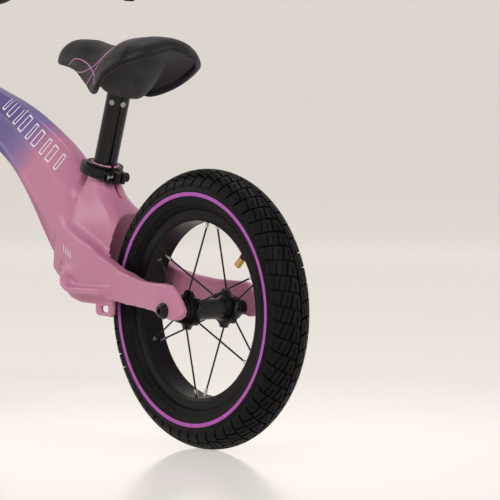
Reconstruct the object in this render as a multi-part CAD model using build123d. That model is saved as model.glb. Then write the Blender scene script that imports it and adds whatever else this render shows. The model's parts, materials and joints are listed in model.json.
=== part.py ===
"""Child's balance bike with two twelve-inch pneumatic wheels.

X points forward, Y to the rider's left and Z up. The origin is on the floor, midway between the wheels.
A one-piece cast frame carries the steering head, the seat tube and two stays, with a foot ledge on each side.
"""
from build123d import *
import math
import os

os.makedirs("parts", exist_ok=True)

# ---------------------------------------------------------------- overall sizes, mm and degrees
WHEELBASE = 586.0
TYRE_RADIUS = 152.0
TYRE_WIDTH = 51.0
HEAD_ANGLE = 72.0
SEAT_ANGLE = 71.3
FORK_RAKE = 12.0
BAR_WIDTH = 420.0

# ---------------------------------------------------------------- fits
RUN_GAP = 0.05        # radial clearance of a bearing or cone on its axle
SLIDE_GAP = 0.04      # radial clearance of a post in its tube
SEAT_GAP = 0.3        # air between soft or cast faces that only lie side by side
BOLT_GAP = 0.3        # radial clearance of a bolt in a plain hole
THREAD_GAP = 0.02     # radial room between a thread and its nut

# ---------------------------------------------------------------- wheels
CASING = 3.5          # tyre wall
TREAD_GROOVE = 2.0    # width and depth of the two rings cut in the tread
TREAD_GROOVE_Y = 8.0
TUBE_WALL = 1.0
RIM_FLANGE_R = 107.5
RIM_SEAT_R = 101.5
RIM_WELL_R = 98.3
RIM_INNER_R = 95.8
RIM_WIDTH = 31.0
RIM_FLANGE = 2.5
RIM_WELL_HALF = 7.5
BEAD = 3.4
SPOKES_PER_SIDE = 6
SPOKE_R = 1.0
SPOKE_PHASE = 96.0    # angle of the first spoke pair, from forward, upward
SPOKE_HOLE_CIRCLE = 18.5
SPOKE_RIM_Y = 5.5
SPOKE_HEAD_R = 1.9
NIPPLE_R = 1.9
NIPPLE_OUT = 9.0      # how far a nipple stands in from the rim
NIPPLE_HEAD_R = 2.7
VALVE_ANGLE = 137.0
VALVE_R = 3.85        # thread of the valve
VALVE_THREAD = 12.0
VALVE_BASE_R = 4.1
VALVE_BASE = 13.0     # rubber foot that stands in from the rim
HUB_BARREL_R = 11.5
HUB_FLANGE_R = 21.5
HUB_FLANGE_Y = 26.0
HUB_FLANGE = 3.6
HUB_END_Y = 43.0      # end of the ribbed cones
HUB_END_R = 11.8
HUB_RIBS = 4
HUB_RIB_DEPTH = 1.6
BEARING_R = 9.5
BEARING_WIDTH = 6.0
AXLE_R = 5.0
AXLE_BOLT_R = 3.0
BOLT_HEAD_R = 8.8
BOLT_HEAD = 5.5
BOLT_SOCKET_R = 2.9
BOLT_SOCKET = 3.2
LOCKNUT_R = 8.2
REAR_SPREAD = 102.0   # between the inner faces of the dropouts
FRONT_SPREAD = 96.0
DROPOUT = 9.0         # thickness of a dropout

# ---------------------------------------------------------------- frame casting
WELL_GAP = 16.0       # tyre to frame, radially
SIDE_GAP = 7.0        # tyre to frame, sideways
HEAD_TUBE = 105.0
HEAD_TUBE_R = 25.0
SEAT_TUBE_R = 17.0    # outside, where the clamp sits
SEAT_POST_R = 13.6
SEAT_TUBE_DEPTH = 122.0
SEAT_SLOT = 2.6
SEAT_SLOT_LENGTH = 34.0
LEDGE_Y = 54.0
TAB_THICK = 6.0
TAB_Y = 37.0
BELLY_Y = 36.0
RECESS = 2.2          # depth of the panel along each side of the beam

# ---------------------------------------------------------------- steering
CROWN_GAP = 16.0      # tyre to fork crown
CROWN = 26.0
HEADSET = 7.0         # stack of the crown race below the head tube
STEERER_R = 14.3
BEARING_CUP_R = 20.0
CUP_DEPTH = 9.0
CAP_HEIGHT = 8.0
BAR_R = 11.1
BAR_WALL = 2.0
BAR_POST_UP = 70.0    # clamp top to handlebar centre at rest
BAR_POST_IN = 88.0    # insertion at rest
BAR_FLAT = 64.0
BAR_RISE = 30.0
BAR_SWEEP = 24.0
BAR_CLAMP_R = 17.5
BAR_CLAMP_WIDE = 44.0
BAR_BOLT_R = 2.5
GRIP_LENGTH = 96.0
GRIP_R = 14.5
GRIP_END_R = 20.0
GRIP_END = 7.0
GRIP_RIBS = 9

# ---------------------------------------------------------------- quick-release clamps
CLAMP_HEIGHT = 15.0
CLAMP_WALL = 4.6
CLAMP_SLIT = 3.0      # between the ears
CLAMP_LIP = 2.0       # tube that shows above a clamp
EAR_LENGTH = 14.0
EAR_THICK = 6.0
SKEWER_R = 2.5
CAM_R = 6.0
CAM_PIN_R = 2.0
LEVER_THICK = 4.6
LEVER_END = 40.0      # where the closed lever ends, from forward toward the left
LEVER_HEIGHT = 11.0
NUT_R = 5.5
NUT = 5.0

# ---------------------------------------------------------------- saddle and post
POST_WALL = 2.2
POST_OUT = 81.5       # tube top to the underside of the saddle at rest
POST_IN = 62.0
SPIGOT = 24.0         # saddle spigot inside the post
BOSS_R = 17.0
PAD_THICK = 11.0
BASE_WALL = 3.2
PAD_GAP = 0.05
SADDLE_SCREW_R = 2.0

# ---------------------------------------------------------------- derived places
REAR_X = -WHEELBASE / 2
FRONT_X = WHEELBASE / 2
WELL_R = TYRE_RADIUS + WELL_GAP
TYRE_RING_R = TYRE_RADIUS - TYRE_WIDTH / 2
GAP_HALF = TYRE_WIDTH / 2 + SIDE_GAP
FRAME_SCALE = WELL_R / 168.0    # the frame's rear half is drawn for a well of radius 168


def direction(degrees):
    """Unit vector in the XZ plane, measured from forward, upward."""
    return Vector(math.cos(math.radians(degrees)), 0, math.sin(math.radians(degrees)))


def rear(forward, above):
    """Point of the frame from the rear axle, scaled with the wheel well."""
    return REAR_AXLE + Vector(forward, 0, above) * FRAME_SCALE


REAR_AXLE = Vector(REAR_X, 0, TYRE_RADIUS)
FRONT_AXLE = Vector(FRONT_X, 0, TYRE_RADIUS)
STEER_UP = direction(180 - HEAD_ANGLE)
STEER_FORWARD = direction(90 - HEAD_ANGLE)
STEER_FOOT = FRONT_AXLE - STEER_FORWARD * FORK_RAKE
CROWN_LOW = TYRE_RADIUS + CROWN_GAP
HEAD_LOW = CROWN_LOW + CROWN + HEADSET
HEAD_HIGH = HEAD_LOW + HEAD_TUBE
HEAD_CENTRE = STEER_FOOT + STEER_UP * (HEAD_LOW + HEAD_TUBE / 2)
SEAT_UP = direction(180 - SEAT_ANGLE)
SEAT_TOP = rear(183, 163)
SADDLE_AT = SEAT_TOP + SEAT_UP * POST_OUT
STEERER_TOP = HEAD_HIGH + CAP_HEIGHT + CLAMP_HEIGHT + CLAMP_LIP + 1.0
BAR_AT = STEER_FOOT + STEER_UP * (STEERER_TOP + BAR_POST_UP)


def along(point, up, side=Vector(0, 1, 0)):
    """Plane at a point with Z along a tube and Y to the rider's left."""
    return Plane(origin=point, x_dir=side.cross(up), z_dir=up)


def ring(outer, inner, height, base=0.0):
    """Upright tube on the local Z axis."""
    made = Pos(0, 0, base + height / 2) * Cylinder(outer, height)
    return made - Pos(0, 0, base + height / 2) * Cylinder(inner, height + 2)


def lathe(points):
    """Solid of revolution about Y from (y, radius) points."""
    face = make_face(Plane.YZ * Polyline(*[(y, r) for y, r in points], close=True))
    return revolve(face, Axis.Y)


def one(shape):
    """The single solid of a boolean result, or the shape with all of its solids."""
    solids = shape.solids()
    return solids[0] if len(solids) == 1 else Compound(children=list(solids))


def save(name, *shapes):
    """Writes one node as parts/NAME.step, and keeps separate solids separate."""
    solids = [s for shape in shapes for s in shape.solids()]
    export_step(solids[0] if len(solids) == 1 else Compound(children=solids), f"parts/{name}.step")


# ---------------------------------------------------------------- wheel parts, axle along Y at the origin
def tyre():
    """Round casing on two beads, with two rings cut in the tread."""
    outer = TYRE_WIDTH / 2
    inner = outer - CASING
    shoulder = RIM_FLANGE_R + 0.5
    bead_y = RIM_WIDTH / 2 - RIM_FLANGE - 0.2
    foot = RIM_SEAT_R + 0.2
    out_y = math.sqrt(outer**2 - (TYRE_RING_R - shoulder) ** 2)
    lip = TYRE_RING_R - math.sqrt(inner**2 - (bead_y - BEAD) ** 2)
    with BuildSketch(Plane.YZ) as face:
        with BuildLine():
            Polyline((-bead_y, shoulder), (-out_y, shoulder))
            ThreePointArc((-out_y, shoulder), (0, TYRE_RADIUS), (out_y, shoulder))
            Polyline((out_y, shoulder), (bead_y, shoulder), (bead_y, foot), (bead_y - BEAD, foot), (bead_y - BEAD, lip))
            ThreePointArc((bead_y - BEAD, lip), (0, TYRE_RING_R + inner), (BEAD - bead_y, lip))
            Polyline((BEAD - bead_y, lip), (BEAD - bead_y, foot), (-bead_y, foot), (-bead_y, shoulder))
        make_face()
    casing = revolve(face.sketch, Axis.Y)
    depth = TYRE_RING_R + math.sqrt(outer**2 - TREAD_GROOVE_Y**2) - TREAD_GROOVE
    for side in (-1, 1):
        y = side * TREAD_GROOVE_Y
        casing -= lathe([(y - TREAD_GROOVE / 2, depth), (y + TREAD_GROOVE / 2, depth),
                         (y + TREAD_GROOVE / 2, TYRE_RADIUS + 5), (y - TREAD_GROOVE / 2, TYRE_RADIUS + 5)])
    return casing


def inner_tube():
    """Closed butyl tube just inside the casing, with a hole where its valve comes out."""
    outer = TYRE_WIDTH / 2 - CASING - 0.4
    shape = Rot(90, 0, 0) * (Torus(TYRE_RING_R, outer) - Torus(TYRE_RING_R, outer - TUBE_WALL))
    return shape - at_angle(VALVE_ANGLE, Cylinder(VALVE_BASE_R, 10), TYRE_RING_R - outer)


def rim():
    """Single-wall section with holes for the nipples and the valve."""
    half = RIM_WIDTH / 2
    section = [(half, RIM_FLANGE_R), (half, RIM_INNER_R + 3.2), (half - 2, RIM_INNER_R), (2 - half, RIM_INNER_R),
               (-half, RIM_INNER_R + 3.2), (-half, RIM_FLANGE_R), (RIM_FLANGE - half, RIM_FLANGE_R),
               (RIM_FLANGE - half, RIM_SEAT_R), (-RIM_WELL_HALF - 1.5, RIM_SEAT_R), (-RIM_WELL_HALF, RIM_WELL_R),
               (RIM_WELL_HALF, RIM_WELL_R), (RIM_WELL_HALF + 1.5, RIM_SEAT_R), (half - RIM_FLANGE, RIM_SEAT_R),
               (half - RIM_FLANGE, RIM_FLANGE_R)]
    shape = lathe(section)
    for start, end in spoke_lines():
        shape -= rod(end - (end - start).normalized() * 8, end + (end - start).normalized() * 12, NIPPLE_R + 0.1)
    return shape - at_angle(VALVE_ANGLE, Cylinder(VALVE_BASE_R + 0.1, 20), RIM_INNER_R)


def at_angle(degrees, shape, radius):
    """Puts a shape whose Z axis points outward at an angle and radius of the wheel."""
    return Rot(0, 90 - degrees, 0) * Pos(0, 0, radius) * shape


def rod(start, end, radius):
    """Cylinder between two points."""
    axis = end - start
    return Plane(origin=start, z_dir=axis) * Pos(0, 0, axis.length / 2) * Cylinder(radius, axis.length)


def spoke_lines():
    """Each spoke's start in its flange and its end in the rim."""
    lines = []
    for index in range(SPOKES_PER_SIDE):
        out = direction(SPOKE_PHASE + index * 360 / SPOKES_PER_SIDE)
        for side in (-1, 1):
            start = out * SPOKE_HOLE_CIRCLE + Vector(0, side * (HUB_FLANGE_Y + HUB_FLANGE / 2), 0)
            end = out * (RIM_INNER_R + 1) + Vector(0, side * SPOKE_RIM_Y, 0)
            lines.append((start, end))
    return lines


def spokes():
    """Straight spokes, each with a head outside its flange and its tip in a nipple."""
    made = []
    for start, end in spoke_lines():
        run = (end - start).normalized()
        outward = Vector(0, math.copysign(1, start.Y), 0)
        head = rod(start + outward * 0.2, start + outward * 1.6, SPOKE_HEAD_R)
        neck = rod(start - outward * (HUB_FLANGE / 2), start + outward * 0.9, SPOKE_R)
        shaft = rod(start - outward * 0.9, end - run * 2, SPOKE_R)
        made.append(one(shaft + neck + head))
    return made


def nipples():
    """Nipples that stand in from the rim, with their heads in its well."""
    made = []
    for start, end in spoke_lines():
        run = (end - start).normalized()
        body = rod(end - run * NIPPLE_OUT, end + run * 3.4, NIPPLE_R)
        head = rod(end + run * 2.4, end + run * 4.0, NIPPLE_HEAD_R)
        bore = rod(end - run * (NIPPLE_OUT + 1), end - run * 1.0, SPOKE_R + 2 * RUN_GAP)
        made.append(one(body + head - bore))
    return made


def hub_shell():
    """Barrel with two scalloped flanges and a ribbed cone at each end, bored for its bearings."""
    end = HUB_END_Y
    flange_out = HUB_FLANGE_Y + HUB_FLANGE / 2
    flange_in = HUB_FLANGE_Y - HUB_FLANGE / 2
    half = [(0, HUB_BARREL_R), (flange_in - 7, HUB_BARREL_R), (flange_in, HUB_BARREL_R + 4), (flange_in, HUB_FLANGE_R),
            (flange_out, HUB_FLANGE_R), (flange_out, HUB_FLANGE_R - 4.5)]
    pitch = (end - flange_out) / HUB_RIBS
    slope = (HUB_FLANGE_R - 4.5 - HUB_END_R) / HUB_RIBS
    for k in range(HUB_RIBS):
        y, r = flange_out + k * pitch, HUB_FLANGE_R - 4.5 - k * slope
        half += [(y + pitch * 0.55, r - slope * 0.5), (y + pitch * 0.55, r - slope * 0.5 - HUB_RIB_DEPTH),
                 (y + pitch, r - slope - HUB_RIB_DEPTH), (y + pitch, r - slope)]
    half = half[:-2] + [(end, HUB_END_R - HUB_RIB_DEPTH)]
    outline = half + [(end, 0)] + [(-end, 0)] + [(-y, r) for y, r in reversed(half)]
    shape = lathe(outline[:-1])
    gap_angle = 360 / SPOKES_PER_SIDE
    for index in range(SPOKES_PER_SIDE):
        out = direction(SPOKE_PHASE + (index + 0.5) * gap_angle) * (HUB_FLANGE_R + 5.5)
        for side in (-1, 1):
            centre = out + Vector(0, side * (flange_in + flange_out) / 2, 0)
            across = Vector(0, HUB_FLANGE / 2 + 0.01, 0)
            shape -= rod(centre - across, centre + across, 9.0)
    for start, end_point in spoke_lines():
        outward = Vector(0, math.copysign(1, start.Y), 0)
        shape -= rod(start - outward * (HUB_FLANGE + 4), start + outward * 3.0, SPOKE_R + 0.1)
        shape -= rod(start + outward * 0.0, start + outward * 8.0, SPOKE_HEAD_R + 0.15)
        shape -= rod(start - outward * 0.9, start - outward * 0.9 + (end_point - start).normalized() * 14, SPOKE_R + 0.15)
    bore = rod(Vector(0, -end - 1, 0), Vector(0, end + 1, 0), AXLE_R + 2.0)
    shape = shape - bore
    for side in (-1, 1):
        shape -= rod(Vector(0, side * (end - BEARING_WIDTH), 0), Vector(0, side * (end + 1), 0), BEARING_R)
    return one(shape)


def bearings():
    """Two sealed bearings, one in each end of the hub."""
    made = []
    for side in (-1, 1):
        start = Vector(0, side * (HUB_END_Y - BEARING_WIDTH), 0)
        end = Vector(0, side * HUB_END_Y, 0)
        made.append(rod(start, end, BEARING_R) - rod(start, end, AXLE_R + RUN_GAP))
    return made


def axle(spread):
    """Hollow axle between the dropouts, threaded inside at both ends."""
    half = spread / 2
    shape = rod(Vector(0, -half, 0), Vector(0, half, 0), AXLE_R)
    return shape - rod(Vector(0, -half, 0), Vector(0, half, 0), AXLE_BOLT_R + THREAD_GAP)


def locknuts(spread):
    """A stepped spacer on each side, from the bearing to the dropout."""
    made = []
    for side in (-1, 1):
        near = HUB_END_Y + 0.4
        far = spread / 2
        flange = rod(Vector(0, side * (far - 5), 0), Vector(0, side * far, 0), LOCKNUT_R)
        neck = rod(Vector(0, side * near, 0), Vector(0, side * far, 0), LOCKNUT_R - 1.6)
        bore = rod(Vector(0, side * (near - 1), 0), Vector(0, side * (far + 1), 0), AXLE_R)
        made.append(one(flange + neck - bore))
    return made


def axle_bolts(spread):
    """Domed bolts with hexagon sockets, through the dropouts into the axle."""
    made = []
    for side in (-1, 1):
        face = spread / 2 + DROPOUT
        shank = rod(Vector(0, side * (spread / 2 - 22), 0), Vector(0, side * face, 0), AXLE_BOLT_R)
        head = lathe([(face * side, 0), (face * side, BOLT_HEAD_R), ((face + 1.4) * side, BOLT_HEAD_R),
                      ((face + BOLT_HEAD - 1.2) * side, BOLT_HEAD_R - 1.9), ((face + BOLT_HEAD) * side, BOLT_HEAD_R - 4.2),
                      ((face + BOLT_HEAD) * side, 0)])
        top = Plane(origin=(0, side * (face + BOLT_HEAD), 0), x_dir=(1, 0, 0), z_dir=(0, -side, 0))
        socket = extrude(top * RegularPolygon(BOLT_SOCKET_R, 6), BOLT_SOCKET)
        made.append(one(shank + head - socket))
    return made


def valve_stem():
    """Rubber foot that comes out of the rim, around a brass stem."""
    low = RIM_INNER_R - VALVE_BASE
    tube_floor = TYRE_RING_R - TYRE_WIDTH / 2 + CASING + 0.4
    foot = Pos(0, 0, (low + tube_floor) / 2) * Cylinder(VALVE_BASE_R, tube_floor - low)
    taper = Pos(0, 0, low + 1.5) * Cone(VALVE_R + 0.2, VALVE_BASE_R, 3.0)
    foot = foot - Pos(0, 0, low + 1.5) * Cylinder(VALVE_BASE_R + 1, 3.0) + taper
    bore = Pos(0, 0, (low + tube_floor) / 2) * Cylinder(VALVE_R - 0.9, tube_floor - low + 2)
    return at_angle(VALVE_ANGLE, one(foot - bore), 0)


def valve_thread():
    """Brass stem with its thread bare for a pump, and a core inside."""
    low = RIM_INNER_R - VALVE_BASE
    tip = low - VALVE_THREAD
    thread = Pos(0, 0, (tip + low) / 2) * Cylinder(VALVE_R, VALVE_THREAD)
    stem = Pos(0, 0, low + 8) * Cylinder(VALVE_R - 0.9, 16)
    mouth = Pos(0, 0, tip + 3) * Cylinder(2.5, 6)
    core = Pos(0, 0, tip + 3.5) * Cylinder(0.9, 5)
    return at_angle(VALVE_ANGLE, one(thread + stem - mouth + core), 0)


def save_wheel(name, centre, spread):
    """Writes every part of one wheel and its axle."""
    place = Pos(*centre)
    save(f"{name}_tyre", place * tyre())
    save(f"{name}_inner_tube", place * inner_tube())
    save(f"{name}_rim", place * rim())
    save(f"{name}_spokes", *[place * s for s in spokes()])
    save(f"{name}_nipples", *[place * s for s in nipples()])
    save(f"{name}_hub_shell", place * hub_shell())
    save(f"{name}_bearings", *[place * s for s in bearings()])
    save(f"{name}_valve_foot", place * valve_stem())
    save(f"{name}_valve_thread", place * valve_thread())
    save(f"{name}_axle", place * axle(spread))
    save(f"{name}_axle_spacers", *[place * s for s in locknuts(spread)])
    save(f"{name}_axle_bolts", *[place * s for s in axle_bolts(spread)])



# ---------------------------------------------------------------- frame
def prism(points, half):
    """Side outline of (forward, above) points from the rear axle, extruded to both sides."""
    places = [rear(*p) for p in points]
    face = make_face(Polyline(*[(p.X, 0, p.Z) for p in places], close=True))
    return extrude(face, half, dir=(0, 1, 0), both=True)


def plan(points, low, high):
    """Plan outline of (forward, half width) points, mirrored across the centre plane."""
    right = [(REAR_X + x * FRAME_SCALE, y) for x, y in points]
    left = [(x, -y) for x, y in reversed(right)]
    face = make_face(Plane.XY.offset(low) * Polyline(*(right + left), close=True))
    return extrude(face, high - low)


def wheel_well(spread):
    """Room for a turning wheel and its hub, with a round roof over the tyre."""
    half = spread / 2
    edge = WELL_R - GAP_HALF
    with BuildSketch(Plane.YZ) as face:
        with BuildLine():
            Polyline((-GAP_HALF, edge), (-GAP_HALF, 90), (-half, 38), (-half, 0), (half, 0), (half, 38),
                     (GAP_HALF, 90), (GAP_HALF, edge))
            ThreePointArc((GAP_HALF, edge), (0, WELL_R), (-GAP_HALF, edge))
        make_face()
    return revolve(face.sketch, Axis.Y)


def beam():
    """Tapered beam from the seat tube to the steering head, with a sunk panel on each side."""
    start = rear(215, 83)
    end = HEAD_CENTRE + Vector(-26, 0, 10.5)
    stations = [  # share of the length; edges above the line; half widths of top, shoulders and foot; sunk panel
        (0.00, 65, 42, -18, -60, 9, 26.0, 31.0, 22, 0.1),
        (0.14, 77, 42, -15, -58, 9, 27.0, 30.0, 20, 0.1),
        (0.33, 75, 46, -5, -35, 9, 26.5, 28.5, 17, 1.0),
        (0.53, 67, 45, 5, -14, 9, 25.5, 27.0, 15, 1.0),
        (0.73, 53, 35, 2, -15, 9, 24.0, 24.5, 14, 1.0),
        (0.88, 42, 27, -5, -24, 10, 23.0, 23.0, 14, 0.6),
        (1.08, 26, 12, -30, -48, 11, 22.0, 22.0, 14, 0.1)]
    faces = []
    for share, top, upper, lower, foot, top_w, upper_w, lower_w, foot_w, sunk in stations:
        place = start + (end - start) * share
        sink = RECESS * sunk
        half = [(top_w, top), (upper_w, upper), (upper_w - sink, upper - 5), (lower_w - sink, lower + 5),
                (lower_w, lower), (foot_w, foot)]
        outline = half + [(-y, z) for y, z in reversed(half)]
        plane = Plane(origin=place, x_dir=(0, 1, 0), z_dir=(1, 0, 0))
        faces.append(make_face(plane * Polyline(*outline, close=True)))
    return loft(faces)


def column():
    """Neck that spreads from the seat tube down to the wheel well."""
    sections = [  # above the axle; rear end, front end, half width
        (153, 168, 202, 17.2), (134, 163, 214, 18.0), (119, 152, 224, 20.5), (103, 130, 234, 24.5),
        (83, 112, 240, 28.5), (62, 106, 240, 31.0), (48, 106, 240, 38.0), (32, 108, 240, 44.0)]
    faces = []
    for above, back, front, half in sections:
        low, high = rear(back, above), rear(front, above)
        plane = Plane(origin=(low + high) * 0.5)
        faces.append(plane * RectangleRounded(high.X - low.X, 2 * half, half * 0.88))
    return loft(faces)


def stays():
    """Both sides of the wheel well and the dropouts."""
    side = [(240, 100), (150, 66), (136, 57), (117, 50), (98, 41), (73, 35), (45, 30.5), (14, 29), (2, 29), (-9, 27),
            (-20, 17), (-31, 2), (-29, -5), (-22, -9), (-9, -10), (17, -2), (40, 0.5), (82, 3), (121, 8), (126, 11),
            (212, 17), (250, 40)]
    width = [(-40, 60), (14, 60), (45, 55), (75, 49), (100, 47), (150, 46), (178, 44), (202, 39), (226, 33), (256, 27)]
    shape = prism(side, 80) & plan(width, 0, 3 * TYRE_RADIUS)
    for hand in (-1, 1):
        ridge = rear(-12.5, 18) + Vector(0, hand * (REAR_SPREAD / 2 + DROPOUT), 0)
        down = Vector(-19, 0, -24).normalized()
        inward = Vector(-8.5, -8.0 * hand, 0).normalized()
        normal = down.cross(inward) * -hand
        facet = Plane(origin=ridge, x_dir=down, z_dir=normal if normal.Y * hand > 0 else normal * -1)
        shape -= facet * Pos(0, 0, 20) * Box(120, 120, 40)
    return shape


def ledges():
    """Flat foot ledge that stands out on both sides, above a closed belly."""
    side = [(112, 12), (188, 13), (205, 18), (216, 28), (221, 40), (188, 20), (112, 20)]
    width = [(108, 44), (114, 50), (126, LEDGE_Y), (190, LEDGE_Y), (206, 50), (222, 36)]
    ledge = prism(side, 80) & plan(width, 0, 2 * TYRE_RADIUS)
    low = [(138, 20), (140, 3), (160, 0.5), (184, 1.5), (204, 6), (216, 14), (226, 34)]
    return ledge + prism(low, BELLY_Y)


def tabs():
    """Slotted accessory tab under each side."""
    outline = prism([(117, 12), (117, -10), (120, -13), (146, -12), (149, -9), (149, 12)], TAB_Y + TAB_THICK / 2)
    window = prism([(125, -1), (125, -8), (140, -7.5), (140, -0.5)], 90)
    shape = outline - window
    return shape - Box(2000, 2 * TAB_Y - TAB_THICK, 2000)


def frame():
    """One casting, bored for the headset, the seat post and the rear axle bolts."""
    tube = along(SEAT_TOP, SEAT_UP) * Pos(0, 0, -40) * Cylinder(SEAT_TUBE_R, 80)
    head = along(HEAD_CENTRE, STEER_UP) * Cylinder(HEAD_TUBE_R, HEAD_TUBE)
    flare = along(HEAD_CENTRE, STEER_UP)
    for end in (-1, 1):
        head += flare * Pos(0, 0, end * (HEAD_TUBE / 2 - 5)) * Cylinder(HEAD_TUBE_R + 2, 10)
    body = beam() + column()
    clamp_room = CLAMP_LIP + CLAMP_HEIGHT + 0.8
    body -= along(SEAT_TOP, SEAT_UP) * Pos(0, 0, 60 - clamp_room) * Cylinder(SEAT_TUBE_R + CLAMP_WALL + 8, 120)
    shape = body + stays() + ledges() + tabs() + tube + head
    shape -= Pos(*REAR_AXLE) * wheel_well(REAR_SPREAD)
    shape -= rod(REAR_AXLE - Vector(0, 90, 0), REAR_AXLE + Vector(0, 90, 0), AXLE_BOLT_R + BOLT_GAP)
    shape -= along(SEAT_TOP, SEAT_UP) * Pos(0, 0, -SEAT_TUBE_DEPTH / 2 + 5) * Cylinder(
        SEAT_POST_R + SLIDE_GAP, SEAT_TUBE_DEPTH + 10)
    slot = Pos(-SEAT_TUBE_R, 0, -SEAT_SLOT_LENGTH / 2 + 5) * Box(30, SEAT_SLOT, SEAT_SLOT_LENGTH + 10)
    end = Pos(-SEAT_TUBE_R, 0, -SEAT_SLOT_LENGTH) * Rot(0, 90, 0) * Cylinder(SEAT_SLOT / 2 + 0.5, 30)
    shape -= along(SEAT_TOP, SEAT_UP) * (slot + end)
    bore = Cylinder(STEERER_R + 1.7, HEAD_TUBE + 2)
    for side in (-1, 1):
        bore += Pos(0, 0, side * (HEAD_TUBE / 2 - CUP_DEPTH / 2 + 0.5)) * Cylinder(BEARING_CUP_R, CUP_DEPTH + 1)
    return one(shape - along(HEAD_CENTRE, STEER_UP) * bore)


def headset():
    """A sealed bearing in each end of the head tube."""
    made = []
    for side in (-1, 1):
        place = along(HEAD_CENTRE, STEER_UP) * Pos(0, 0, side * (HEAD_TUBE / 2 - CUP_DEPTH / 2))
        made.append(place * (Cylinder(BEARING_CUP_R, CUP_DEPTH) - Cylinder(STEERER_R + RUN_GAP, CUP_DEPTH + 1)))
    return made


# ---------------------------------------------------------------- quick-release clamp, tube axis along local Z
def clamp_collar(tube_r):
    """Split collar with two ears to the rear."""
    outer = tube_r + CLAMP_WALL
    reach = outer + EAR_LENGTH
    wide = CLAMP_SLIT / 2 + EAR_THICK
    ears = Pos(-(outer - 6 + reach) / 2, 0, 0) * Box(reach - outer + 6, 2 * wide, CLAMP_HEIGHT - 2)
    ears = fillet(ears.edges().filter_by(Axis.Z).sort_by(Axis.X)[:2], 3.0)
    shape = Cylinder(outer, CLAMP_HEIGHT) + ears
    shape -= Cylinder(tube_r + SLIDE_GAP, CLAMP_HEIGHT + 2)
    shape -= Pos(-reach, 0, 0) * Box(2 * reach, CLAMP_SLIT, CLAMP_HEIGHT + 2)
    skewer_x = -(outer + EAR_LENGTH / 2)
    return one(shape - Pos(skewer_x, 0, 0) * Rot(90, 0, 0) * Cylinder(SKEWER_R + BOLT_GAP, 60))


def pin_place(tube_r):
    """Axis of the lever, on the left of the ears."""
    return -(tube_r + CLAMP_WALL + EAR_LENGTH / 2), CLAMP_SLIT / 2 + EAR_THICK + CAM_R + 0.3


def clamp_skewer(tube_r):
    """Rod through both ears, with a cross pin for the lever and a thread for the nut."""
    x, y = pin_place(tube_r)
    far = -(CLAMP_SLIT / 2 + EAR_THICK + NUT + 1.5)
    rod_shape = Pos(x, (y + far) / 2, 0) * Rot(90, 0, 0) * Cylinder(SKEWER_R, y - far)
    return one(rod_shape + Pos(x, y, 0) * Cylinder(CAM_PIN_R, LEVER_HEIGHT - 1))


def clamp_nut(tube_r):
    """Knurled nut against the right ear."""
    x = pin_place(tube_r)[0]
    y = -(CLAMP_SLIT / 2 + EAR_THICK + NUT / 2)
    shape = Pos(x, y, 0) * Rot(90, 0, 0) * (Cylinder(NUT_R, NUT) - Cylinder(SKEWER_R + THREAD_GAP, NUT + 1))
    return one(shape)


def clamp_lever(tube_r):
    """Curved lever that hugs the collar when closed, with a cam slotted for the skewer."""
    x, y = pin_place(tube_r)
    inner = tube_r + CLAMP_WALL + 1.2
    outer = inner + LEVER_THICK
    cam = Pos(x, y, 0) * Cylinder(CAM_R, LEVER_HEIGHT)
    start = math.degrees(math.atan2(y, x)) - 8
    arc = []
    for radius, angles in ((outer, (start, LEVER_END)), (inner, (LEVER_END, start))):
        for k in range(13):
            a = math.radians(angles[0] + (angles[1] - angles[0]) * k / 12)
            arc.append((radius * math.cos(a), radius * math.sin(a)))
    blade = extrude(make_face(Polyline(*arc, close=True)), LEVER_HEIGHT / 2, both=True)
    root = [(x, y + CAM_R), (x + 2, y - 3), arc[-1], arc[0]]
    blade += extrude(make_face(Polyline(*root, close=True)), LEVER_HEIGHT / 2, both=True)
    tip = Pos((inner + outer) / 2 * math.cos(math.radians(LEVER_END)),
              (inner + outer) / 2 * math.sin(math.radians(LEVER_END)), 0)
    shape = cam + blade + tip * Cylinder(LEVER_THICK / 2 + 0.6, LEVER_HEIGHT)
    sweep = [(x, y)]
    for k in range(11):
        a = math.radians(100 + 180 * k / 10)
        sweep.append((x + 12 * math.cos(a), y + 12 * math.sin(a)))
    shape -= extrude(make_face(Polyline(*sweep, close=True)), SKEWER_R + 0.4, both=True)
    shape -= Pos(x, y - 8, 0) * Box(2 * SKEWER_R + 1.2, 16, 2 * SKEWER_R + 0.8)
    shape -= Pos(x, y, 0) * Rot(0, 0, -150) * Pos(0, -8, 0) * Box(2 * SKEWER_R + 1.2, 16, 2 * SKEWER_R + 0.8)
    shape -= Cylinder(inner, 60)
    return one(shape - Pos(x, y, 0) * Cylinder(CAM_PIN_R + RUN_GAP, 60))


def save_clamp(name, place, tube_r):
    """Writes the four parts of one quick-release clamp."""
    save(f"{name}_clamp_collar", place * clamp_collar(tube_r))
    save(f"{name}_clamp_skewer", place * clamp_skewer(tube_r))
    save(f"{name}_clamp_nut", place * clamp_nut(tube_r))
    save(f"{name}_clamp_lever", place * clamp_lever(tube_r))


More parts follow.
